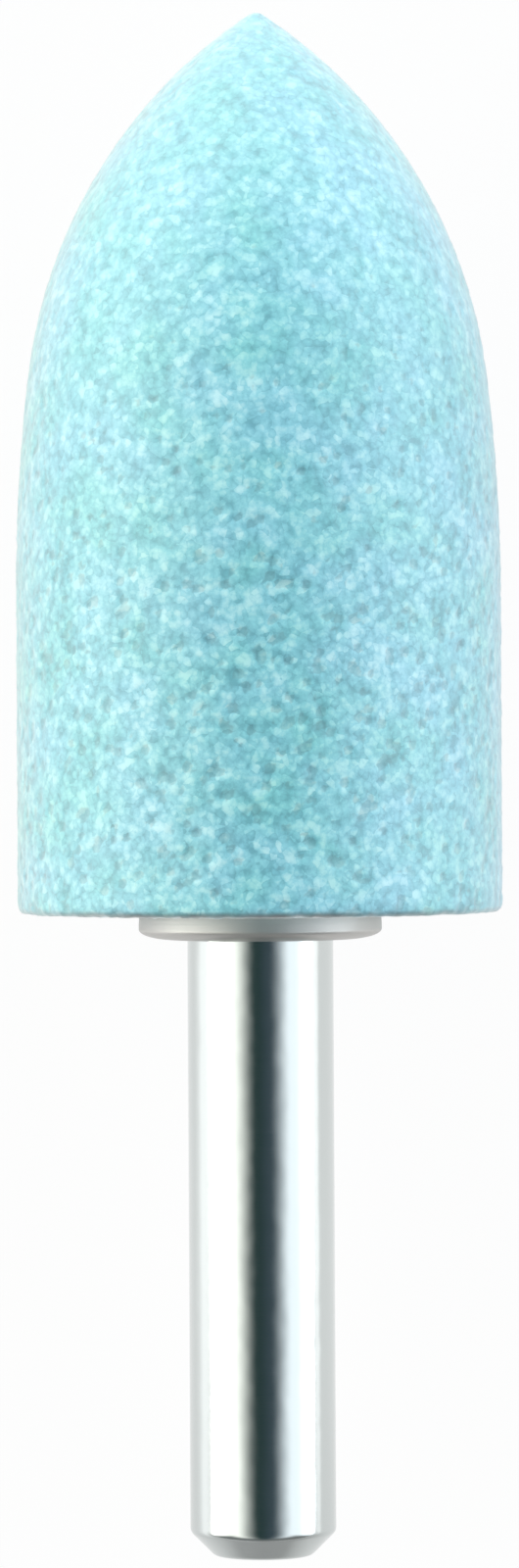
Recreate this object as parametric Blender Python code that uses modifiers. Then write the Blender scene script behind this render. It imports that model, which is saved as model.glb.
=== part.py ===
"""A mounted point: a pointed-arch grinding head cemented on a plain 6 mm steel spindle.

Four pieces share one axis: the abrasive head, the spindle, the domed collar between
the head and the shank, and the sleeve of cement that holds the spindle's knurled tang
in the head's blind bore.

Each piece is drawn in the tool's own frame, where the axis is Z, the head's back face
is the plane Z = 0 and the point is at +Z. The empty tool_axis then lays the tool on
its side, point towards +Y, as it comes to rest on the straight part of the head.
"""

from math import acos, atan2, ceil, cos, floor, hypot, pi, radians, sin, tan

import bmesh
import bpy

# Lengths are in metres and angles in radians.

# Abrasive head, whose length is the sum of its three stretches
HEAD_DIAMETER = 0.0200
STRAIGHT_LENGTH = 0.0132  # cylinder, from the back face
SHOULDER_LENGTH = 0.0089  # easy curve from the cylinder into the nose
NOSE_LENGTH = 0.0149
SHOULDER_DROP = 0.00055  # how far the shoulder comes in over its length
TIP_RADIUS = 0.0005  # a fired point is never quite sharp
BACK_EDGE_RADIUS = 0.00035
NOSE_SOLID = 0.0100  # abrasive left between the bore's floor and the tip
BORE_FLOOR_ANGLE = radians(120)  # cone that the moulding pin leaves

# Spindle
SHANK_DIAMETER = 0.0060
SHANK_LENGTH = 0.0264  # from the head's back face to the free end
SHANK_CHAMFER = 0.0010  # at 45 degrees, so that the shank starts into a collet
TANG_CHAMFER = 0.0005

# Diamond knurl on the tang
KNURL_START = 0.0035  # from the head's back face
KNURL_MARGIN = 0.0040  # left plain before the tang's chamfer
KNURL_DEPTH = 0.0003
KNURL_DIAMONDS = 30  # in one turn
KNURL_HELIX = radians(30)  # angle between a groove and the axis

# Collar
COLLAR_WIDTH = 0.0017  # from its bore to its rim
COLLAR_RIM = 0.00035  # height of the straight rim
COLLAR_DOME = 0.00042  # height of the dome below the rim
COLLAR_FOOT = 0.0003  # width of the flat ring between the dome and the bore

# Cement
CEMENT_WALL = 0.0005
FIT_GAP = 0.0003  # left between pieces that touch on the real tool

# Facets in one turn. With two over a multiple of four, a flat of the head faces
# straight down and the tool rests on it.
HEAD_FACETS = 62
SPINDLE_FACETS = 2 * KNURL_DIAMONDS
ARC_SAG = 0.000005  # how far a rounded outline may lie from its chords
SHARP_EDGE = radians(30)  # edges that turn by less are shaded smooth
MERGE_DISTANCE = 0.000001

HEAD_RADIUS = HEAD_DIAMETER / 2
HEAD_LENGTH = STRAIGHT_LENGTH + SHOULDER_LENGTH + NOSE_LENGTH
SHANK_RADIUS = SHANK_DIAMETER / 2
CLEAR_RADIUS = SHANK_RADIUS + FIT_GAP
SLEEVE_RADIUS = CLEAR_RADIUS + CEMENT_WALL
BORE_RADIUS = SLEEVE_RADIUS + FIT_GAP

# Colour, metallic value and roughness of each piece
FINISHES = {
    "abrasive_head": ((0.29, 0.72, 0.80), 0.0, 0.85),
    "bond_cement": ((0.58, 0.56, 0.52), 0.0, 0.90),
    "collar": ((0.55, 0.55, 0.54), 1.0, 0.35),
    "spindle": ((0.62, 0.63, 0.64), 1.0, 0.18),
}


def clear_scene():
    for thing in list(bpy.data.objects):
        bpy.data.objects.remove(thing, do_unlink=True)


def cone_height(radius):
    """Height of the bore's conical floor over a circle of this radius."""
    return radius / tan(BORE_FLOOR_ANGLE / 2)


# Heights in the bore, from its floor back to the tang's end
BORE_APEX = HEAD_LENGTH - NOSE_SOLID
SLEEVE_APEX = BORE_APEX - FIT_GAP / sin(BORE_FLOOR_ANGLE / 2)
BORE_SHOULDER = BORE_APEX - cone_height(BORE_RADIUS)
SLEEVE_SHOULDER = SLEEVE_APEX - cone_height(SLEEVE_RADIUS)
SLEEVE_FLOOR = SLEEVE_SHOULDER - CEMENT_WALL
TANG_END = SLEEVE_FLOOR - FIT_GAP


def arc(centre, radius, start, end):
    """Points (r, z) on an arc, both ends included; angles are from the +r direction."""
    step = 2 * acos(1 - ARC_SAG / radius)
    count = ceil(abs(end - start) / step)
    angles = [start + (end - start) * i / count for i in range(count + 1)]
    return [(centre[0] + radius * cos(a), centre[1] + radius * sin(a)) for a in angles]


def ogive():
    """The pointed arch from its tip down to the cylinder, as three tangent arcs.

    The shoulder is tangent to the cylinder. The nose is tangent to the shoulder's
    upper end and to the small ball of the tip, which touches it from inside.
    """
    shoulder_radius = (SHOULDER_LENGTH**2 + SHOULDER_DROP**2) / (2 * SHOULDER_DROP)
    lean = acos(1 - SHOULDER_DROP / shoulder_radius)
    shoulder_centre = (HEAD_RADIUS - shoulder_radius, STRAIGHT_LENGTH)
    join = (HEAD_RADIUS - SHOULDER_DROP, STRAIGHT_LENGTH + SHOULDER_LENGTH)

    tip_centre = (0, HEAD_LENGTH - TIP_RADIUS)
    out, up = join[0], join[1] - tip_centre[1]
    reach = out * cos(lean) + up * sin(lean)
    nose_radius = (out**2 + up**2 - TIP_RADIUS**2) / (2 * (reach - TIP_RADIUS))
    nose_centre = (join[0] - nose_radius * cos(lean), join[1] - nose_radius * sin(lean))
    tip_lean = atan2(tip_centre[1] - nose_centre[1], -nose_centre[0])

    tip = arc(tip_centre, TIP_RADIUS, pi / 2, tip_lean)
    nose = arc(nose_centre, nose_radius, tip_lean, lean)
    shoulder = arc(shoulder_centre, shoulder_radius, lean, 0)
    return tip + nose[1:] + shoulder[1:]


def head_outline():
    """From the tip down the outside, across the back face and up the blind bore."""
    edge_centre = (HEAD_RADIUS - BACK_EDGE_RADIUS, BACK_EDGE_RADIUS)
    back_edge = arc(edge_centre, BACK_EDGE_RADIUS, 0, -pi / 2)
    bore = [(BORE_RADIUS, 0), (BORE_RADIUS, BORE_SHOULDER), (0, BORE_APEX)]
    return ogive() + back_edge + bore


def sleeve_outline():
    """A cup of cement, whose outside follows the bore and whose inside the tang."""
    return [
        (0, SLEEVE_APEX),
        (SLEEVE_RADIUS, SLEEVE_SHOULDER),
        (SLEEVE_RADIUS, FIT_GAP),
        (CLEAR_RADIUS, FIT_GAP),
        (CLEAR_RADIUS, SLEEVE_FLOOR),
        (0, SLEEVE_FLOOR),
    ]


def collar_outline():
    """A ring, flat against the head and domed below its rim down to a narrow foot."""
    rim_top = -FIT_GAP
    rim_bottom = rim_top - COLLAR_RIM
    dome_bottom = rim_bottom - COLLAR_DOME
    dome_width = COLLAR_WIDTH - COLLAR_FOOT
    squash = COLLAR_DOME / dome_width
    quarter = arc((CLEAR_RADIUS + COLLAR_FOOT, 0), dome_width, 0, -pi / 2)
    dome = [(r, rim_bottom + z * squash) for r, z in quarter]
    rim = [(CLEAR_RADIUS, rim_top), (CLEAR_RADIUS + COLLAR_WIDTH, rim_top)]
    return rim + dome + [(CLEAR_RADIUS, dome_bottom)]


def knurl_rows():
    """Heights of the knurl's rows, which lean the grooves by the helix angle."""
    column = 2 * pi * SHANK_RADIUS / SPINDLE_FACETS
    pitch = column / tan(KNURL_HELIX)
    count = floor((TANG_END - TANG_CHAMFER - KNURL_MARGIN - KNURL_START) / pitch)
    return [KNURL_START + pitch * i for i in range(count + 1)]


def spindle_outline():
    """From the tang's end to the shank's free end, with a point at each knurl row."""
    tang = [
        (0, TANG_END),
        (SHANK_RADIUS - TANG_CHAMFER, TANG_END),
        (SHANK_RADIUS, TANG_END - TANG_CHAMFER),
    ]
    knurl = [(SHANK_RADIUS, z) for z in reversed(knurl_rows())]
    shank = [
        (SHANK_RADIUS, SHANK_CHAMFER - SHANK_LENGTH),
        (SHANK_RADIUS - SHANK_CHAMFER, -SHANK_LENGTH),
        (0, -SHANK_LENGTH),
    ]
    return tang + knurl + shank


def finish_of(name):
    colour, metallic, roughness = FINISHES[name]
    material = bpy.data.materials.new(name)
    material.use_nodes = True
    shader = material.node_tree.nodes["Principled BSDF"]
    shader.inputs["Base Color"].default_value = (*colour, 1)
    shader.inputs["Metallic"].default_value = metallic
    shader.inputs["Roughness"].default_value = roughness
    return material


def turned(name, outline, facets, closed=False):
    """A piece turned from its outline (r, z) round the axis with a Screw modifier."""
    edges = [(i, i + 1) for i in range(len(outline) - 1)]
    if closed:
        edges.append((len(outline) - 1, 0))
    mesh = bpy.data.meshes.new(name)
    mesh.from_pydata([(r, 0, z) for r, z in outline], edges, [])
    mesh.materials.append(finish_of(name))
    piece = bpy.data.objects.new(name, mesh)
    screw = piece.modifiers.new("turn", "SCREW")
    screw.axis = "Z"
    screw.angle = 2 * pi
    screw.steps = facets
    screw.render_steps = facets
    screw.use_merge_vertices = True
    screw.merge_threshold = MERGE_DISTANCE
    return piece


def lay_on_side(pieces):
    """Parents the pieces to the tool's axis, laid level with the point towards +Y."""
    collection = bpy.data.collections.new("mounted_point")
    bpy.context.scene.collection.children.link(collection)
    tool_axis = bpy.data.objects.new("tool_axis", None)
    flat_height = HEAD_RADIUS * cos(pi / HEAD_FACETS)
    tool_axis.location = (0, (SHANK_LENGTH - HEAD_LENGTH) / 2, flat_height)
    tool_axis.rotation_euler = (-pi / 2, 0, 0)
    collection.objects.link(tool_axis)
    for piece in pieces:
        collection.objects.link(piece)
        piece.parent = tool_axis


def apply_turn(piece):
    graph = bpy.context.evaluated_depsgraph_get()
    outline = piece.data
    piece.data = bpy.data.meshes.new_from_object(piece.evaluated_get(graph))
    piece.modifiers.clear()
    bpy.data.meshes.remove(outline)


def make_ends_whole(piece):
    """Makes one face of each flat fan that the turning leaves round the axis."""
    mesh = bmesh.new()
    mesh.from_mesh(piece.data)
    fan_centres = []
    for vertex in mesh.verts:
        on_axis = hypot(vertex.co.x, vertex.co.y) < MERGE_DISTANCE
        spokes = [edge.other_vert(vertex).co - vertex.co for edge in vertex.link_edges]
        if on_axis and all(abs(spoke.z) < MERGE_DISTANCE for spoke in spokes):
            fan_centres.append(vertex)
    bmesh.ops.dissolve_verts(mesh, verts=fan_centres)
    mesh.to_mesh(piece.data)
    mesh.free()


def cut_knurl(spindle):
    """Sinks every second point of the knurl's grid, leaving diamonds between grooves.

    The sunk points join up along both diagonals of the grid. The first and last
    rows stay at full size, so the grooves run out where the plain steel begins.
    """
    rows = knurl_rows()
    pitch = rows[1] - rows[0]
    sunk_share = (SHANK_RADIUS - KNURL_DEPTH) / SHANK_RADIUS
    mesh = bmesh.new()
    mesh.from_mesh(spindle.data)
    sunk = set()
    for vertex in mesh.verts:
        x, y, z = vertex.co
        row = round((z - rows[0]) / pitch)
        column = round(atan2(y, x) / (2 * pi) * SPINDLE_FACETS)
        on_surface = hypot(x, y) > SHANK_RADIUS - KNURL_DEPTH
        if 0 < row < len(rows) - 1 and on_surface and (row + column) % 2 == 0:
            vertex.co.xy *= sunk_share
            sunk.add(vertex)
    for face in list(mesh.faces):
        corners = [vertex for vertex in face.verts if vertex in sunk]
        if len(corners) == 2:
            bmesh.utils.face_split(face, *corners)
    mesh.to_mesh(spindle.data)
    mesh.free()


def main():
    clear_scene()
    head = turned("abrasive_head", head_outline(), HEAD_FACETS)
    sleeve = turned("bond_cement", sleeve_outline(), SPINDLE_FACETS)
    collar = turned("collar", collar_outline(), SPINDLE_FACETS, closed=True)
    spindle = turned("spindle", spindle_outline(), SPINDLE_FACETS)
    pieces = [head, sleeve, collar, spindle]

    lay_on_side(pieces)
    for piece in pieces:
        apply_turn(piece)
        make_ends_whole(piece)
    cut_knurl(spindle)
    for piece in pieces:
        piece.data.shade_smooth()
        piece.data.set_sharp_from_angle(angle=SHARP_EDGE)


main()
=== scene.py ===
import itertools
import math

import bpy
import numpy as np
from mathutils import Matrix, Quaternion, Vector


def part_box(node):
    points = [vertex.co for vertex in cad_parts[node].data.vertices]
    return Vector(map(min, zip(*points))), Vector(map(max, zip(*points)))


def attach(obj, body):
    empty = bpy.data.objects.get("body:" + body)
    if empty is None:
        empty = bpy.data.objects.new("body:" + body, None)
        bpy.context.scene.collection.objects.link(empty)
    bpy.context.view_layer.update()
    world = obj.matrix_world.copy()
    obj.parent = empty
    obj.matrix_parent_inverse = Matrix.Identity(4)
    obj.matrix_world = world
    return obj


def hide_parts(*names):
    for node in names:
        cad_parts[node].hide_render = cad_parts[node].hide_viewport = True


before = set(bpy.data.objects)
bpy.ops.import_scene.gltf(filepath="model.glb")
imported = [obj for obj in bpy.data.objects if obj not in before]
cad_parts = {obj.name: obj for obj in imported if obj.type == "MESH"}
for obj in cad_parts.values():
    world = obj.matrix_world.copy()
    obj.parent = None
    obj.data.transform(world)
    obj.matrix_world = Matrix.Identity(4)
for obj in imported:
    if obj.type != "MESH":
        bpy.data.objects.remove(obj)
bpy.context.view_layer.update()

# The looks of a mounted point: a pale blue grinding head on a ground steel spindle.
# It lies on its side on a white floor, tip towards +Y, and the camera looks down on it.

MM = 0.001

# The tool's axis and the ends of its pieces, from the frame
head_low, head_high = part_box("abrasive_head")
spindle_low, spindle_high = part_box("spindle")
AXIS_X = (head_low.x + head_high.x) / 2
AXIS_Z = (head_low.z + head_high.z) / 2
BACK_Y = head_low.y
HEAD_RADIUS = (head_high.z - head_low.z) / 2
HEAD_LENGTH = head_high.y - head_low.y
SHANK_RADIUS = (spindle_high.x - spindle_low.x) / 2
SHANK_LENGTH = BACK_Y - spindle_low.y
TANG_END = spindle_high.y - BACK_Y

# Sizes of the head that its box doesn't tell
STRAIGHT_LENGTH = 13.2 * MM
SHOULDER_LENGTH = 8.9 * MM
SHOULDER_DROP = 0.55 * MM
TIP_RADIUS = 0.5 * MM
BACK_EDGE_RADIUS = 0.35 * MM
BORE_RADIUS = 4.1 * MM
BORE_APEX = 27.0 * MM
BORE_FLOOR_ANGLE = math.radians(120)
HEAD_SPACING = 0.17 * MM  # between the grid's points along the outside
HEAD_FACETS = 336

# Relief of the moulded abrasive: grains pressed together, with open pores between them
GRAIN = 0.45 * MM
GRAIN_SEED = 5
GRAIN_RELIEF = 0.035 * MM
PORE_DEPTH = 0.07 * MM
PORE_SHARE = 0.25  # of the grains broke out
PORE_FLOOR = 0.2  # grain sizes from the centre of such a grain, up to which its pore is deepest
PORE_EDGE = 0.7  # and where the pore ends

# The nose was dressed to its point, so its grains stand out less and less towards the tip
DRESSED_FROM = 12.0 * MM  # from the back
DRESSED_TO = 30.0 * MM
DRESSED_RELIEF = 0.5  # of the grains' height is gone at the tip
DRESSED_COLOUR = 0.18  # of the difference between light and dark grains

# Spindle
SHANK_CHAMFER = 1.0 * MM
TANG_CHAMFER = 0.5 * MM
KNURL_START = 3.5 * MM
KNURL_MARGIN = 4.0 * MM
KNURL_DEPTH = 0.3 * MM
KNURL_DIAMONDS = 30
KNURL_HELIX = math.radians(30)
FULL_WIDTH = 0.999  # of the shank's radius, past which a point lies on the bar's outside
STEEL_FACETS = 240
EDGE_BREAK = 0.06 * MM
CHAMFER_BREAK = 0.16 * MM  # of the shank's chamfer, whose two edges are tumbled round

# Collar
FIT_GAP = 0.3 * MM  # between the solids, which the collar's outer sizes start from
COLLAR_WIDTH = 1.7 * MM
COLLAR_RIM = 0.35 * MM
COLLAR_DOME = 0.42 * MM
COLLAR_FOOT = 0.3 * MM
COLLAR_SEAT = 0.02 * MM  # the collar is pressed against the head, a hair's breadth off
COLLAR_GRIP = 0.02 * MM  # and tight on the shank
COLLAR_CROWN = 0.03 * MM  # of its rim, which bulges a little

# Points along each part of the outlines
ARC_POINTS = 48
BROKEN_EDGE_POINTS = 7
BACK_EDGE_POINTS = 9
BACK_FACE_POINTS = 20
KNURL_POINTS = 116
PLAIN_POINTS = 4
DOME_POINTS = 24
CROWN_POINTS = 12
CROWN_START = 3  # the crown's first point past the broken edge beside it

# Multipliers that mix whole numbers into numbers at random
HASH_AXES = (374761393, 668265263, 2147483647)
HASH_MIX = 1274126177


# Shapes

def arc(centre, radius, start, end, count=ARC_POINTS):
    """Points on a circular arc as rows of (radius, station), both ends included."""
    angle = np.linspace(start, end, count)
    return np.stack([centre[0] + radius * np.cos(angle), centre[1] + radius * np.sin(angle)], 1)


def ogive():
    """Outline of the pointed arch, tip first: three arcs that pass into each other.

    The shoulder arc leaves the cylinder along the axis. The nose arc goes on from
    it with the same slope and closes on the small ball of the tip.
    """
    shoulder_radius = (SHOULDER_LENGTH**2 + SHOULDER_DROP**2) / (2 * SHOULDER_DROP)
    lean = math.acos(1 - SHOULDER_DROP / shoulder_radius)
    join = (HEAD_RADIUS - SHOULDER_DROP, STRAIGHT_LENGTH + SHOULDER_LENGTH)
    tip_centre = HEAD_LENGTH - TIP_RADIUS
    out, up = join[0], join[1] - tip_centre
    reach = out * math.cos(lean) + up * math.sin(lean)
    nose_radius = (out**2 + up**2 - TIP_RADIUS**2) / (2 * (reach - TIP_RADIUS))
    nose_centre = (join[0] - nose_radius * math.cos(lean), join[1] - nose_radius * math.sin(lean))
    tip_lean = math.atan2(tip_centre - nose_centre[1], -nose_centre[0])
    return np.concatenate([
        arc((0, tip_centre), TIP_RADIUS, math.pi / 2, tip_lean),
        arc(nose_centre, nose_radius, tip_lean, lean)[1:],
        arc((HEAD_RADIUS - shoulder_radius, STRAIGHT_LENGTH), shoulder_radius, lean, 0)[1:],
    ])


def evenly(outline, spacing):
    """The same outline with its points a constant distance apart along it."""
    steps = np.linalg.norm(np.diff(outline, axis=0), axis=1)
    along = np.concatenate([[0], np.cumsum(steps)])
    count = int(math.ceil(along[-1] / spacing)) + 1
    places = np.linspace(0, along[-1], count)
    return np.stack([np.interp(places, along, outline[:, axis]) for axis in (0, 1)], 1)


def broken_edges(corners, width):
    """An outline with each inner corner eased by a small parabola.

    A point each side of the curve keeps the flats beside it flat in the shading.
    """
    corners = np.array(corners, float)
    share = np.linspace(0, 1, BROKEN_EDGE_POINTS)[:, None]
    runs = [corners[:1]]
    for before, corner, after in zip(corners[:-2], corners[1:-1], corners[2:]):
        back = (before - corner) / np.linalg.norm(before - corner)
        on = (after - corner) / np.linalg.norm(after - corner)
        start, end = corner + back * width, corner + on * width
        curve = (1 - share) ** 2 * start + 2 * share * (1 - share) * corner + share**2 * end
        runs += [(start + back * width / 2)[None], curve, (end + on * width / 2)[None]]
    return np.concatenate(runs + [corners[-1:]])


def carried_round(name, outline, facets, ring=False, relief=None):
    """A surface of revolution: the outline carried round the tool's axis.

    Point (i, j) is the outline's point i turned by j parts of a full turn. relief gives
    the depth below the plain surface at each point, measured square to the outline. An
    outline that isn't a ring starts and ends on the axis, where a fan of triangles closes it.
    """
    angle = np.arange(facets) * 2 * math.pi / facets
    if ring:
        slope = np.roll(outline, -1, 0) - np.roll(outline, 1, 0)
    else:
        slope = np.gradient(outline, axis=0)
    slope /= np.linalg.norm(slope, axis=1)[:, None]
    out = np.stack([-slope[:, 1], slope[:, 0]], 1)
    radius = np.repeat(outline[:, :1], facets, 1)
    station = np.repeat(outline[:, 1:], facets, 1)
    depth = relief(radius, station, angle[None, :]) if relief else np.zeros_like(radius)
    radius = radius - depth * out[:, :1]
    station = station - depth * out[:, 1:]
    points = np.stack([
        AXIS_X + radius * np.cos(angle),
        BACK_Y + station,
        AXIS_Z + radius * np.sin(angle),
    ], -1)

    rings = len(outline)
    index = np.arange(rings * facets).reshape(rings, facets)
    if ring:
        rows = np.concatenate([index, index[:1]])
        vertices = points.reshape(-1, 3)
    else:
        rows = index[: rings - 2]
        ends = [points[0].mean(0), points[-1].mean(0)]
        vertices = np.concatenate([points[1:-1].reshape(-1, 3), ends])
    across = np.roll(rows, -1, 1)
    quads = np.stack([rows[:-1], rows[1:], across[1:], across[:-1]], -1)
    faces = quads.reshape(-1, 4).tolist()
    if not ring:
        first, last = len(vertices) - 2, len(vertices) - 1
        faces += np.stack([np.full(facets, first), rows[0], across[0]], -1).tolist()
        faces += np.stack([np.full(facets, last), across[-1], rows[-1]], -1).tolist()

    mesh = bpy.data.meshes.new(name)
    mesh.from_pydata(vertices.tolist(), [], faces)
    mesh.shade_smooth()
    if relief:
        sunk = mesh.attributes.new("sunk", "FLOAT", "POINT")
        sunk.data.foreach_set("value", np.concatenate([depth[1:-1].ravel(), [0, 0]]))
    piece = bpy.data.objects.new(name, mesh)
    bpy.context.scene.collection.objects.link(piece)
    return piece


def lattice_random(cells, seed):
    """A number from 0 to 1 for each whole-number cell, mixed from its three indices."""
    mixed = ((cells * HASH_AXES).sum(-1) + seed * HASH_MIX) & 0xFFFFFFFF
    mixed = ((mixed ^ (mixed >> 13)) * HASH_MIX) & 0xFFFFFFFF
    return ((mixed ^ (mixed >> 16)) & 0xFFFFFF) / 0xFFFFFF


def packed_grains(points, size, seed):
    """Offset from the nearest grain centre, in grain sizes, and four numbers of that grain.

    Space is a lattice of cubes of the grain's size with one centre at random in each, so
    the nearest centre lies in a point's own cube or in one of the 26 round it.
    """
    place = points / size
    cell = np.floor(place).astype(np.int64)
    nearest = np.full(place.shape[:-1], np.inf)
    offset = np.zeros(place.shape)
    owner = np.zeros(place.shape, np.int64)
    for step in itertools.product((-1, 0, 1), repeat=3):
        beside = cell + np.array(step)
        jitter = np.stack([lattice_random(beside, seed + axis) for axis in range(3)], -1)
        away = place - beside - jitter
        distance = np.linalg.norm(away, axis=-1)
        closer = distance < nearest
        nearest = np.where(closer, distance, nearest)
        offset = np.where(closer[..., None], away, offset)
        owner = np.where(closer[..., None], beside, owner)
    return offset, [lattice_random(owner, seed + extra) for extra in (3, 4, 5, 6)]


def abrasive_relief(radius, station, angle):
    """Depth of the head's skin: each grain shows one flat face, tilted its own way, and the
    grains that broke out leave a pore. Both ease off along the nose. The bore is plain."""
    points = np.stack([radius * np.cos(angle), station, radius * np.sin(angle)], -1)
    offset, (lot, *tilt) = packed_grains(points, GRAIN, GRAIN_SEED)
    face = 1 + (offset * (np.stack(tilt, -1) * 2 - 1)).sum(-1)
    distance = np.linalg.norm(offset, axis=-1)
    hollow = np.clip((PORE_EDGE - distance) / (PORE_EDGE - PORE_FLOOR), 0, 1)
    pore = PORE_DEPTH * (lot < PORE_SHARE) * hollow
    along_nose = np.clip((station - DRESSED_FROM) / (DRESSED_TO - DRESSED_FROM), 0, 1)
    ease = 1 - DRESSED_RELIEF * along_nose
    outside = (radius > BORE_RADIUS + GRAIN) | (station > BORE_APEX + GRAIN)
    return np.where(outside, ease * (np.maximum(GRAIN_RELIEF * face, 0) + pore), 0)


def knurl_relief(radius, station, angle):
    """Depth of the diamond knurl: a pyramid between two sets of crossed helical grooves.

    Counted in half diamonds round the bar and in rows along it, a groove of either hand
    lies where the sum or the difference of the two counts is even.
    """
    columns = 2 * KNURL_DIAMONDS
    pitch = 2 * math.pi * SHANK_RADIUS / columns / math.tan(KNURL_HELIX)
    rows = math.floor((TANG_END - TANG_CHAMFER - KNURL_MARGIN - KNURL_START) / pitch)
    column = angle / (2 * math.pi) * columns
    row = (station - KNURL_START) / pitch
    sides = [abs(way / 2 - np.round(way / 2)) for way in (column + row, column - row)]
    height = 2 * np.minimum(*sides)
    run_out = np.clip(np.minimum(row, rows - row), 0, 1)
    return KNURL_DEPTH * (1 - height) * run_out * (radius > SHANK_RADIUS * FULL_WIDTH)


def make_head():
    """Grinding head: an outline from the tip down the pointed arch and the cylinder, round
    the back edge and along the flat back face, then up the bore to its apex on the axis."""
    edge_centre = (HEAD_RADIUS - BACK_EDGE_RADIUS, BACK_EDGE_RADIUS)
    outside = evenly(np.concatenate([
        ogive(),
        [[HEAD_RADIUS, BACK_EDGE_RADIUS]],
        arc(edge_centre, BACK_EDGE_RADIUS, 0, -math.pi / 2, BACK_EDGE_POINTS)[1:],
    ]), HEAD_SPACING)
    mouth = BORE_RADIUS + EDGE_BREAK
    back = np.linspace([edge_centre[0], 0], [mouth, 0], BACK_FACE_POINTS)[1:-1]
    shoulder = BORE_APEX - BORE_RADIUS / math.tan(BORE_FLOOR_ANGLE / 2)
    bore = broken_edges(
        [back[-1], (BORE_RADIUS, 0), (BORE_RADIUS, shoulder), (0, BORE_APEX)], EDGE_BREAK
    )[1:]
    outline = np.concatenate([outside, back, bore])
    return carried_round("grinding_head", outline, HEAD_FACETS, relief=abrasive_relief)


def make_spindle():
    """Spindle: an outline from the tang's end down its knurl and the plain steel in the
    head, then along the shank to the chamfer and the flat free end."""
    knurl_end = TANG_END - TANG_CHAMFER - KNURL_MARGIN
    knurl = np.linspace([SHANK_RADIUS, knurl_end], [SHANK_RADIUS, KNURL_START], KNURL_POINTS)
    tang = broken_edges([
        (0, TANG_END),
        (SHANK_RADIUS - TANG_CHAMFER, TANG_END),
        (SHANK_RADIUS, TANG_END - TANG_CHAMFER),
        knurl[0],
    ], EDGE_BREAK)[:-1]
    below_knurl = [SHANK_RADIUS, KNURL_START - EDGE_BREAK]
    plain = np.linspace(below_knurl, [SHANK_RADIUS, 0], PLAIN_POINTS)
    shank = broken_edges([
        plain[-1],
        (SHANK_RADIUS, SHANK_CHAMFER - SHANK_LENGTH),
        (SHANK_RADIUS - SHANK_CHAMFER, -SHANK_LENGTH),
        (0, -SHANK_LENGTH),
    ], CHAMFER_BREAK)[1:]
    outline = np.concatenate([tang, knurl, plain, shank])
    return carried_round("ground_spindle", outline, STEEL_FACETS, relief=knurl_relief)


def make_collar():
    """Collar: a closed outline of the narrow foot, the bore, the seat against the head, a
    rim that widens along a parabola, and a quarter of an ellipse for the dome."""
    bore = SHANK_RADIUS + FIT_GAP
    grip = SHANK_RADIUS + COLLAR_GRIP
    rim = bore + COLLAR_WIDTH
    foot = bore + COLLAR_FOOT
    dome_top = -FIT_GAP - COLLAR_RIM
    bottom = dome_top - COLLAR_DOME
    quarter = arc((0, 0), 1, 0, -math.pi / 2, DOME_POINTS)
    dome = quarter * (COLLAR_WIDTH - COLLAR_FOOT, COLLAR_DOME) + (foot, dome_top)
    height = FIT_GAP + COLLAR_RIM - COLLAR_SEAT
    share = np.linspace(0, 1, CROWN_POINTS)[:, None]
    crown = (rim, -COLLAR_SEAT) - share * (0, height) - (1 - share) ** 2 * (COLLAR_CROWN, 0)
    rounded = broken_edges([
        (foot, bottom),
        (grip, bottom),
        (grip, -COLLAR_SEAT),
        crown[0],
        crown[CROWN_START],
    ], EDGE_BREAK)[1:-1]
    outline = np.concatenate([rounded, crown[CROWN_START:-1], dome])
    return carried_round("domed_collar", outline, STEEL_FACETS, ring=True)


# Finishes

# Settings that several nodes share
SOFT = {"interpolation_type": "SMOOTHSTEP"}
LESS = {"operation": "SUBTRACT"}
TIMES = {"operation": "MULTIPLY"}
TIMES_PLUS = {"operation": "MULTIPLY_ADD"}
LARGER = {"operation": "MAXIMUM"}
LENGTH = {"operation": "LENGTH"}
SCALED = {"operation": "SCALE"}
NUMBERS = {"data_type": "FLOAT"}
COLOURS = {"data_type": "RGBA"}
TINTED = {"data_type": "RGBA", "blend_type": "MULTIPLY"}


def colour(code):
    """Linear colour of an sRGB hex value."""
    shares = [int(code[i : i + 2], 16) / 255 for i in (1, 3, 5)]
    return (*[c / 12.92 if c <= 0.04045 else ((c + 0.055) / 1.055) ** 2.4 for c in shares], 1)


def add(tree, kind, settings=None, stops=(), **links):
    """Adds a node. Links and values go to its inputs by name, with _ for a space, or by
    number after an i. A colour ramp also takes its stops, as (place, sRGB hex) pairs."""
    node = tree.nodes.new(kind)
    for key, value in (settings or {}).items():
        setattr(node, key, value)
    for key, value in links.items():
        numbered = key[0] == "i" and key[1:].isdigit()
        socket = node.inputs[int(key[1:]) if numbered else key.replace("_", " ")]
        if isinstance(value, bpy.types.NodeSocket):
            tree.links.new(value, socket)
        else:
            socket.default_value = value
    while stops and len(node.color_ramp.elements) < len(stops):
        node.color_ramp.elements.new(1.0)
    for index, (place, code) in enumerate(stops):
        node.color_ramp.elements[index].position = place
        node.color_ramp.elements[index].color = colour(code)
    return node


def finish(name):
    """A material, its node tree, its Principled shader and the piece's own coordinates."""
    material = bpy.data.materials.new(name)
    material.use_nodes = True
    tree = material.node_tree
    place = add(tree, "ShaderNodeTexCoord").outputs["Object"]
    return material, tree, tree.nodes["Principled BSDF"], place


# Tone of the abrasive's grains
GRAIN_SIZE = 0.30 * MM  # of the single grains
JAG_SIZE = 0.30 * MM
GRAIN_JAG = 0.15 * MM  # how far the grains' outlines wander
GRAIN_LOT = 0.21  # the most that a grain's own tone adds
GRAIN_SIDE = -0.20  # and what it adds a grain's size away from the middle
CLUMP_SIZE = 0.68 * MM  # of the lighter and darker heaps of grains
CLOUD_SIZE = 3.0 * MM
MIDDLE_TONE = 0.505  # which the nose's grains come closer to

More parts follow.
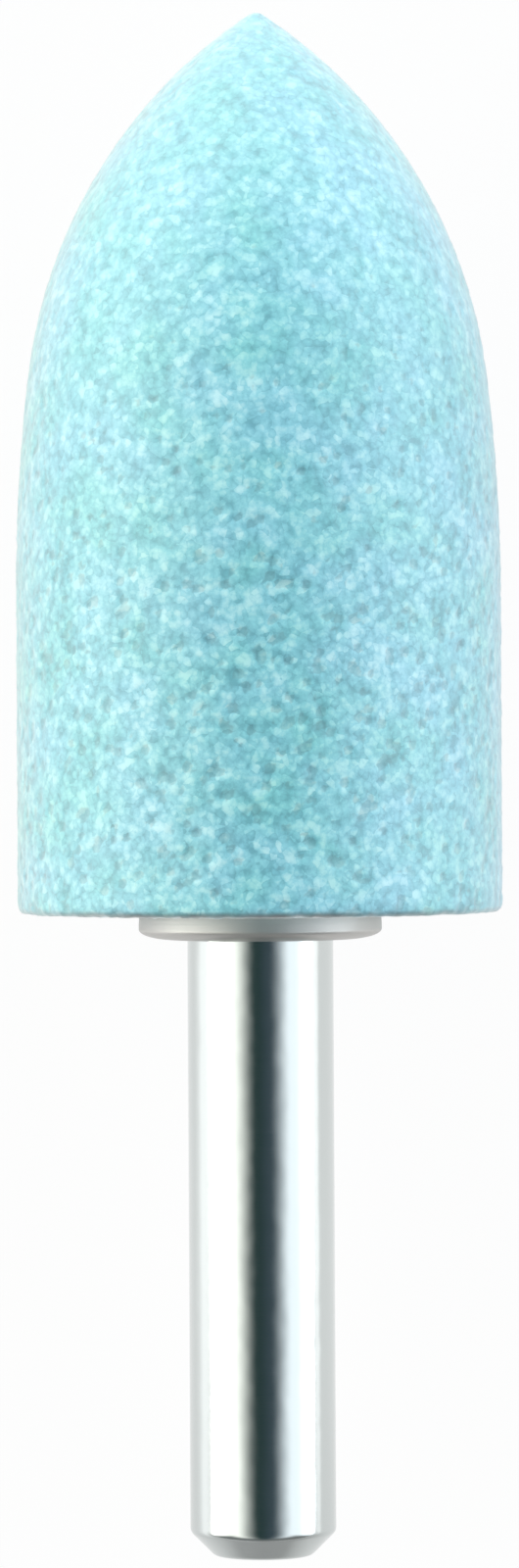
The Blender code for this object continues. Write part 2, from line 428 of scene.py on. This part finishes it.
# Where painted shade darkens the pores and the rounded back edge, and how dark
# Painted shade in the pores: the deeper the skin is sunk past this, the darker it is painted
PORE_START = 1.5 * GRAIN_RELIEF  # sunk below this, the skin darkens
PORE_SHADE = 0.24
# A band of painted shade along the head's rounded back edge
EDGE_DARK = 0.1 * MM  # from the back face, where the edge has become darkest
EDGE_INNER = 0.55 * MM  # in from the head's outside, where it starts
EDGE_OUTER = 0.35 * MM  # and where it has become darkest
EDGE_PATCH_SIZE = 1.6 * MM
EDGE_LIGHT_PATCH = 0.55
# The band of painted shade is darker on the uppermost side, where less light falls
EDGE_SIDE = 4.0 * MM  # above the axis, up to which the edge is faint
EDGE_TOP = 9.5 * MM  # and where it has become darkest
EDGE_FAINT = 0.35


def fired_blue_abrasive():
    """Vitrified aluminium oxide, pressed and fired: chalky, like fine sugar. Sharp grains
    of about 0.3 mm in a pale blue glass bond, each a little lighter or darker than the
    next, with pores between them darkened by painted shade, and cloudy patches a few
    millimetres wide. The nose is more even. The rounded back edge carries a band of
    painted shade in uneven patches, darkest on the side that lies uppermost."""
    material, tree, shader, place = finish("fired_blue_abrasive")

    # Tone of the grains, which evens out along the nose
    jag = add(tree, "ShaderNodeTexNoise", Vector=place, Scale=1 / JAG_SIZE, Detail=1.0)
    about = add(tree, "ShaderNodeVectorMath", TIMES_PLUS,
                i0=jag.outputs["Color"], i1=(GRAIN_JAG,) * 3, i2=place)
    grains = add(tree, "ShaderNodeTexVoronoi",
                 Vector=about.outputs["Vector"], Scale=1 / GRAIN_SIZE)
    lot = add(tree, "ShaderNodeSeparateColor", Color=grains.outputs["Color"])
    clump = add(tree, "ShaderNodeTexNoise",
                Vector=place, Scale=1 / CLUMP_SIZE, Detail=4.0, Roughness=0.65)
    mixed = add(tree, "ShaderNodeMath", TIMES_PLUS,
                i0=lot.outputs["Red"], i1=GRAIN_LOT, i2=clump.outputs["Fac"])
    tone = add(tree, "ShaderNodeMath", TIMES_PLUS,
               i0=grains.outputs["Distance"], i1=GRAIN_SIDE, i2=mixed.outputs[0])
    along = add(tree, "ShaderNodeSeparateXYZ", Vector=place)
    nose = add(tree, "ShaderNodeMapRange", Value=along.outputs["Y"],
               From_Min=BACK_Y + DRESSED_FROM, From_Max=BACK_Y + DRESSED_TO,
               To_Min=0.0, To_Max=DRESSED_COLOUR)
    eased = add(tree, "ShaderNodeMix", NUMBERS,
                i0=nose.outputs["Result"], i2=tone.outputs[0], i3=MIDDLE_TONE)
    sugar = add(tree, "ShaderNodeValToRGB", Fac=eased.outputs[0], stops=[
        (0.27, "#5FB2C2"), (0.41, "#79CBDA"), (0.535, "#90DEEB"), (0.71, "#C2F7FC"),
    ])
    cloud = add(tree, "ShaderNodeTexNoise", Vector=place, Scale=1 / CLOUD_SIZE, Detail=2.0)
    cloudy = add(tree, "ShaderNodeValToRGB", Fac=cloud.outputs["Fac"], stops=[
        (0.35, "#E4F8F2"), (0.65, "#FCFAFF"),
    ])
    body = add(tree, "ShaderNodeMix", TINTED,
               Factor=1.0, i6=sugar.outputs["Color"], i7=cloudy.outputs["Color"])

    # Painted shade in the pores and along the rounded back edge
    sunk = add(tree, "ShaderNodeAttribute", {"attribute_name": "sunk"})
    # Painted shade in the pores, from how deep the relief is sunk
    hollow = add(tree, "ShaderNodeMapRange", Value=sunk.outputs["Fac"],
                 From_Min=PORE_START, From_Max=PORE_DEPTH, To_Min=0.0, To_Max=PORE_SHADE)
    # Painted shade: a band along the rounded back edge
    painted_shade_band = add(tree, "ShaderNodeMapRange", SOFT, Value=along.outputs["Y"],
                  From_Min=BACK_Y + BACK_EDGE_RADIUS, From_Max=BACK_Y + EDGE_DARK,
                  To_Min=0.0, To_Max=1.0)
    across = add(tree, "ShaderNodeVectorMath", TIMES_PLUS,
                 i0=place, i1=(1, 0, 1), i2=(-AXIS_X, 0, -AXIS_Z))
    reach = add(tree, "ShaderNodeVectorMath", LENGTH, i0=across.outputs["Vector"])
    rim = add(tree, "ShaderNodeMapRange", SOFT, Value=reach.outputs["Value"],
              From_Min=HEAD_RADIUS - EDGE_INNER, From_Max=HEAD_RADIUS - EDGE_OUTER)
    edge = add(tree, "ShaderNodeMath", TIMES,
               i0=painted_shade_band.outputs["Result"], i1=rim.outputs["Result"])
    patchy = add(tree, "ShaderNodeTexNoise",
                 Vector=place, Scale=1 / EDGE_PATCH_SIZE, Detail=3.0)
    uneven = add(tree, "ShaderNodeMapRange", Value=patchy.outputs["Fac"],
                 From_Min=0.32, From_Max=0.62, To_Min=EDGE_LIGHT_PATCH, To_Max=1.0)
    # Painted shade, darkest on the side that lies uppermost
    upper = add(tree, "ShaderNodeMapRange", SOFT, Value=along.outputs["Z"],
                From_Min=AXIS_Z + EDGE_SIDE, From_Max=AXIS_Z + EDGE_TOP,
                To_Min=EDGE_FAINT, To_Max=1.0)
    patchy_painted_shade = add(tree, "ShaderNodeMath", TIMES, i0=edge.outputs[0], i1=uneven.outputs["Result"])
    painted_edge_shade = add(tree, "ShaderNodeMath", TIMES, i0=patchy_painted_shade.outputs[0], i1=upper.outputs["Result"])
    darker = add(tree, "ShaderNodeMath", LARGER,
                 i0=hollow.outputs["Result"], i1=painted_edge_shade.outputs[0])
    # The dark colour of the painted shade in the pores and on the back edge
    skin = add(tree, "ShaderNodeMix", TINTED,
               Factor=darker.outputs[0], i6=body.outputs[2], i7=colour("#33484C"))
    bump = add(tree, "ShaderNodeBump",
               Strength=0.5, Distance=GRAIN_RELIEF, Height=eased.outputs[0])

    tree.links.new(skin.outputs[2], shader.inputs["Base Color"])
    tree.links.new(bump.outputs["Normal"], shader.inputs["Normal"])
    shader.inputs["Roughness"].default_value = 0.40
    shader.inputs["IOR"].default_value = 1.76
    shader.inputs["Sheen Weight"].default_value = 1.0
    shader.inputs["Sheen Roughness"].default_value = 0.6
    return material


# Marks on the metal pieces, and the cement's sand
GRINDING_SPACING = 0.06 * MM
GRINDING_LENGTH = 4 * MM
GRINDING_DEPTH = 0.002 * MM
WAVE_SIZE = 1.3 * MM
WAVE_DEPTH = 0.02 * MM
TURNING_SPACING = 0.14 * MM
TURNING_LENGTH = 6 * MM
TURNING_DEPTH = 0.015 * MM
WEAR_SIZE = 0.8 * MM
SAND_SIZE = 0.3 * MM


def ground_steel():
    """Bright steel, centreless ground and polished: sharp stripes of reflection, with fine
    grinding lines round the bar that only soften the stripes' edges, and a waviness of
    about a millimetre that makes those edges waver. The lines are drawn coarser and the
    waves deeper than a real bar's, so that they show."""
    material, tree, shader, place = finish("ground_steel")
    scale = (1 / GRINDING_LENGTH, 1 / GRINDING_SPACING, 1 / GRINDING_LENGTH)
    lines = add(tree, "ShaderNodeMapping", Vector=place, Scale=scale)
    rings = add(tree, "ShaderNodeTexNoise",
                Vector=lines.outputs["Vector"], Scale=1.0, Detail=3.0)
    gloss = add(tree, "ShaderNodeMapRange",
                Value=rings.outputs["Fac"], To_Min=0.10, To_Max=0.20)
    bump = add(tree, "ShaderNodeBump",
               Strength=0.15, Distance=GRINDING_DEPTH, Height=rings.outputs["Fac"])
    wave = add(tree, "ShaderNodeTexNoise", Vector=place, Scale=1 / WAVE_SIZE, Detail=1.0)
    wavy = add(tree, "ShaderNodeBump", Strength=1.0, Distance=WAVE_DEPTH,
               Height=wave.outputs["Fac"], Normal=bump.outputs["Normal"])
    tree.links.new(gloss.outputs["Result"], shader.inputs["Roughness"])
    tree.links.new(wavy.outputs["Normal"], shader.inputs["Normal"])
    shader.inputs["Base Color"].default_value = colour("#CED3D2")
    shader.inputs["Metallic"].default_value = 1.0
    return material


def satin_steel():
    """Turned steel left satin: soft, greyer reflections with turning lines round the ring."""
    material, tree, shader, place = finish("satin_steel")
    wear = add(tree, "ShaderNodeTexNoise", Vector=place, Scale=1 / WEAR_SIZE, Detail=4.0)
    gloss = add(tree, "ShaderNodeMapRange",
                Value=wear.outputs["Fac"], To_Min=0.46, To_Max=0.54)
    scale = (1 / TURNING_LENGTH, 1 / TURNING_SPACING, 1 / TURNING_LENGTH)
    turned = add(tree, "ShaderNodeMapping", Vector=place, Scale=scale)
    lines = add(tree, "ShaderNodeTexNoise",
                Vector=turned.outputs["Vector"], Scale=1.0, Detail=1.0)
    bump = add(tree, "ShaderNodeBump",
               Strength=0.6, Distance=TURNING_DEPTH, Height=lines.outputs["Fac"])
    tree.links.new(gloss.outputs["Result"], shader.inputs["Roughness"])
    tree.links.new(bump.outputs["Normal"], shader.inputs["Normal"])
    shader.inputs["Base Color"].default_value = colour("#C8C6C3")
    shader.inputs["Metallic"].default_value = 1.0
    return material


def set_cement():
    """Mineral cement, cast and set: matt, warm grey and slightly sandy."""
    material, tree, shader, place = finish("set_cement")
    sand = add(tree, "ShaderNodeTexNoise", Vector=place, Scale=1 / SAND_SIZE, Detail=4.0)
    sandy = add(tree, "ShaderNodeValToRGB", Fac=sand.outputs["Fac"], stops=[
        (0.3, "#A39D92"), (0.7, "#C2BDB2"),
    ])
    tree.links.new(sandy.outputs["Color"], shader.inputs["Base Color"])
    shader.inputs["Roughness"].default_value = 0.9
    return material


# The object

PIECES = [
    (make_head, fired_blue_abrasive, "abrasive_head"),
    (make_spindle, ground_steel, "spindle"),
    (make_collar, satin_steel, "collar"),
]
for make, make_finish, node in PIECES:
    piece = make()
    piece.data.materials.append(make_finish())
    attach(piece, "root")
    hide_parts(node)

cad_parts["bond_cement"].data.materials.clear()
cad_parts["bond_cement"].data.materials.append(set_cement())


# The stage

FLOOR_SIZE = 4
PAPER = (0.9, 0.9, 0.9, 1)
PLAIN_WHITE = 0.95  # of what is seen of the floor, the rest being lit paper
# A painted pool of light by the tent's walls and painted shade in front, which only the steel's
# reflections show
TENT_MIDDLE_X = 15 * MM
WALLS_START = 28 * MM  # either side of the middle, where the floor starts to brighten
WALLS_FULL = 55 * MM  # and where it is brightest
WALL_GLOW = 1.55
FRONT_START = -20 * MM  # in Y, where the floor starts to dim
FRONT_FULL = -85 * MM  # and where it is dimmest
FRONT_GLOW = 0.42


def white_floor():
    """Matt white paper. Most of what the camera sees of it is plain white, and the rest is
    lit, so that the tool's soft shadow stays on it. The steel sees it glow with a painted
    pool of light towards the tent's walls and painted shade in front, mostly beyond the
    picture."""
    material = bpy.data.materials.new("white_paper")
    material.use_nodes = True
    tree = material.node_tree
    tree.nodes.clear()
    own = add(tree, "ShaderNodeTexCoord")
    place = add(tree, "ShaderNodeSeparateXYZ", Vector=own.outputs["Object"])
    off_middle = add(tree, "ShaderNodeMath", LESS, i0=place.outputs["X"], i1=TENT_MIDDLE_X)
    aside = add(tree, "ShaderNodeMath", {"operation": "ABSOLUTE"}, i0=off_middle.outputs[0])
    by_wall = add(tree, "ShaderNodeMapRange", SOFT, Value=aside.outputs[0],
                  From_Min=WALLS_START, From_Max=WALLS_FULL, To_Min=1.0, To_Max=WALL_GLOW)
    in_front = add(tree, "ShaderNodeMapRange", SOFT, Value=place.outputs["Y"],
                   From_Min=FRONT_FULL, From_Max=FRONT_START, To_Min=FRONT_GLOW, To_Max=1.0)
    # Painted light and shade on the floor, seen by glossy and transmission rays
    glow = add(tree, "ShaderNodeMath", TIMES,
               i0=by_wall.outputs["Result"], i1=in_front.outputs["Result"])
    ray = add(tree, "ShaderNodeLightPath")
    mirrored = add(tree, "ShaderNodeMath", LARGER,
                   i0=ray.outputs["Is Glossy Ray"], i1=ray.outputs["Is Transmission Ray"])
    seen = add(tree, "ShaderNodeMath", LARGER,
               i0=ray.outputs["Is Camera Ray"], i1=mirrored.outputs[0])
    strength = add(tree, "ShaderNodeMix", NUMBERS,
                   i0=ray.outputs["Is Camera Ray"], i2=glow.outputs[0], i3=1.0)
    white = add(tree, "ShaderNodeEmission", Strength=strength.outputs[0])
    paper = add(tree, "ShaderNodeBsdfDiffuse", Color=PAPER)
    share = add(tree, "ShaderNodeMath", TIMES, i0=seen.outputs[0], i1=PLAIN_WHITE)
    both = add(tree, "ShaderNodeMixShader",
               i0=share.outputs[0], i1=paper.outputs[0], i2=white.outputs[0])
    add(tree, "ShaderNodeOutputMaterial", Surface=both.outputs[0])
    return material


def flat_panel(name, centre, across, along, material):
    """A rectangle: its centre plus and minus half of each of its two sides."""
    centre, across, along = Vector(centre), Vector(across) / 2, Vector(along) / 2
    corners = [
        centre - across - along,
        centre + across - along,
        centre + across + along,
        centre - across + along,
    ]
    mesh = bpy.data.meshes.new(name)
    mesh.from_pydata([tuple(corner) for corner in corners], [], [(0, 1, 2, 3)])
    mesh.materials.append(material)
    panel = bpy.data.objects.new(name, mesh)
    bpy.context.scene.collection.objects.link(panel)


flat_panel("floor", (0, 0, 0), (FLOOR_SIZE, 0, 0), (0, FLOOR_SIZE, 0), white_floor())


# The slot, as an ellipse on a flat roof one unit above the tool
SLOT_ACROSS = 0.63
SLOT_ALONG = 1.4
SLOT_FRONT = 3.0  # its length towards the shank's end
SLOT_OFF = 0.05
SLOT_INNER = 0.30  # of the ellipse's size, where its soft edge starts
SLOT_OUTER = 1.65  # and where it ends
LOWEST_ROOF = 0.01  # a direction that rises less is taken as rising by this

# Where the light changes, in the parts of a direction one unit long: X to the right, Y
# towards the tip and Z up
SIDE_X = (-0.5, 0.5)
LOW_Z = (0.15, 0.55)
AHEAD_Y = (0.40, 0.85)
FRONT_Y = (-0.60, -0.18)
FRONT_Z = (0.40, 0.75)
SLOT_X = (-0.12, 0.25)

LOW_GLOW = 1.95  # of the walls near the floor
AHEAD_GLOW = 0.75  # of the walls ahead of the tip
LEFT_LIGHT = (1.78, 1.79, 1.68, 1)
RIGHT_LIGHT = (1.41, 1.51, 1.59, 1)
FRONT_LIGHT = (0.24, 0.25, 0.25, 1)
SLOT_LEFT_LIGHT = (0.025, 0.055, 0.055, 1)
SLOT_RIGHT_LIGHT = (0.055, 0.085, 0.105, 1)


def light_tent():
    """A white light tent round the tool, with a dark slot overhead that the camera looks
    through, and a dim front. The slot is an ellipse with soft edges, long along the tool
    and longest towards the shank's end, and a little less dark on its right side. The
    walls are brightest near the floor and dimmer ahead of the tip."""
    world = bpy.data.worlds.new("light_tent")
    bpy.context.scene.world = world
    world.use_nodes = True
    tree = world.node_tree
    tree.nodes.clear()
    way = add(tree, "ShaderNodeTexCoord").outputs["Generated"]
    part = add(tree, "ShaderNodeSeparateXYZ", Vector=way)

    # How far outside the slot a direction lies. In front, where Y is negative, the larger
    # of the two places is the one in the longer slot.
    up = add(tree, "ShaderNodeMath", LARGER, i0=part.outputs["Z"], i1=LOWEST_ROOF)
    roof = add(tree, "ShaderNodeMath", {"operation": "DIVIDE"}, i0=1.0, i1=up.outputs[0])
    flat = add(tree, "ShaderNodeVectorMath", SCALED, Vector=way, Scale=roof.outputs[0])
    placed = add(tree, "ShaderNodeVectorMath", TIMES_PLUS, i0=flat.outputs["Vector"],
                 i1=(1 / SLOT_ACROSS, 1 / SLOT_ALONG, 0), i2=(-SLOT_OFF / SLOT_ACROSS, 0, 0))
    in_longer = add(tree, "ShaderNodeVectorMath", TIMES,
                    i0=placed.outputs["Vector"], i1=(1, SLOT_ALONG / SLOT_FRONT, 1))
    larger = add(tree, "ShaderNodeVectorMath", LARGER,
                 i0=placed.outputs["Vector"], i1=in_longer.outputs["Vector"])
    off = add(tree, "ShaderNodeVectorMath", LENGTH, i0=larger.outputs["Vector"])
    cloth = add(tree, "ShaderNodeMapRange", SOFT, Value=off.outputs["Value"],
                From_Min=SLOT_INNER, From_Max=SLOT_OUTER)

    # The walls, then the slot in them
    side = add(tree, "ShaderNodeMapRange", SOFT, Value=part.outputs["X"],
               From_Min=SIDE_X[0], From_Max=SIDE_X[1])
    sides = add(tree, "ShaderNodeMix", COLOURS,
                Factor=side.outputs["Result"], i6=LEFT_LIGHT, i7=RIGHT_LIGHT)
    low = add(tree, "ShaderNodeMapRange", SOFT, Value=part.outputs["Z"],
              From_Min=LOW_Z[0], From_Max=LOW_Z[1], To_Min=LOW_GLOW, To_Max=1.0)
    ahead = add(tree, "ShaderNodeMapRange", SOFT, Value=part.outputs["Y"],
                From_Min=AHEAD_Y[0], From_Max=AHEAD_Y[1], To_Min=1.0, To_Max=AHEAD_GLOW)
    share = add(tree, "ShaderNodeMath", TIMES,
                i0=low.outputs["Result"], i1=ahead.outputs["Result"])
    lit_sides = add(tree, "ShaderNodeVectorMath", SCALED,
                    Vector=sides.outputs[2], Scale=share.outputs[0])
    past_front = add(tree, "ShaderNodeMapRange", SOFT, Value=part.outputs["Y"],
                     From_Min=FRONT_Y[0], From_Max=FRONT_Y[1])
    above_front = add(tree, "ShaderNodeMapRange", SOFT, Value=part.outputs["Z"],
                      From_Min=FRONT_Z[0], From_Max=FRONT_Z[1])
    clear = add(tree, "ShaderNodeMath", LARGER,
                i0=past_front.outputs["Result"], i1=above_front.outputs["Result"])
    walls = add(tree, "ShaderNodeMix", COLOURS,
                Factor=clear.outputs[0], i6=FRONT_LIGHT, i7=lit_sides.outputs["Vector"])
    slot_side = add(tree, "ShaderNodeMapRange", SOFT, Value=part.outputs["X"],
                    From_Min=SLOT_X[0], From_Max=SLOT_X[1])
    slot = add(tree, "ShaderNodeMix", COLOURS, Factor=slot_side.outputs["Result"],
               i6=SLOT_LEFT_LIGHT, i7=SLOT_RIGHT_LIGHT)
    tent = add(tree, "ShaderNodeMix", COLOURS,
               Factor=cloth.outputs["Result"], i6=slot.outputs[2], i7=walls.outputs[2])

    lit = add(tree, "ShaderNodeBackground", Color=tent.outputs[2], Strength=1.0)
    white = add(tree, "ShaderNodeBackground", Color=(1, 1, 1, 1), Strength=1.0)
    seen = add(tree, "ShaderNodeLightPath").outputs["Is Camera Ray"]
    both = add(tree, "ShaderNodeMixShader", i0=seen, i1=lit.outputs[0], i2=white.outputs[0])
    add(tree, "ShaderNodeOutputWorld", Surface=both.outputs[0])


light_tent()


# The camera, straight above the tool and a little nearer its tip, as in the photograph

IMAGE_HEIGHT_PX = 1600
PX_PER_MM = 24.83  # at the height of the tool's axis
CAMERA_HEIGHT = 280 * MM  # above the axis
CAMERA_Y = 2.0 * MM
AIM_Y = 0.0 * MM
ROLL = math.radians(-0.3)
CLIP_START = 10 * MM

camera_data = bpy.data.cameras.new("camera")
camera = bpy.data.objects.new("camera", camera_data)
bpy.context.scene.collection.objects.link(camera)
bpy.context.scene.camera = camera
picture_height = IMAGE_HEIGHT_PX / PX_PER_MM * MM
camera_data.lens = camera_data.sensor_width * CAMERA_HEIGHT / picture_height
camera_data.clip_start = CLIP_START
camera.location = (AXIS_X, CAMERA_Y, AXIS_Z + CAMERA_HEIGHT)
tilt = math.atan2(AIM_Y - CAMERA_Y, CAMERA_HEIGHT)
camera.rotation_mode = "QUATERNION"
camera.rotation_quaternion = Quaternion((1, 0, 0), tilt) @ Quaternion((0, 0, 1), ROLL)

bpy.context.scene.view_settings.view_transform = "Standard"
